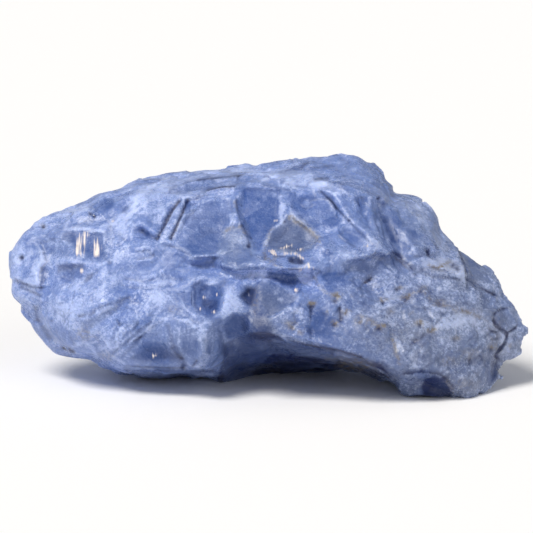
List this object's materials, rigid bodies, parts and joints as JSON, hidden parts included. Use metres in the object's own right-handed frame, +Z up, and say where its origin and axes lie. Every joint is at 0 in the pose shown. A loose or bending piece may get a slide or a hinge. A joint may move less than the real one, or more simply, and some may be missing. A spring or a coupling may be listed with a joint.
{
  "type": "blue calcite stone",
  "caption": "One rough lump of pale blue calcite, broken on every side, longer than it is high, lying on small flat spots",
  "frame": {"origin": "centre of the stone's bounding box seen from above, at the level it rests on", "axes": "+X along the stone's length towards its cracked, lower end; +Y away from the face that the picture shows; +Z up"},
  "size_m": [0.1558, 0.0806, 0.064],
  "materials": {
    "calcite": "cleaved, waxy, partly translucent"
  },
  "bodies": {
    "root": {"blue_calcite": "calcite"}
  },
  "joints": []
}
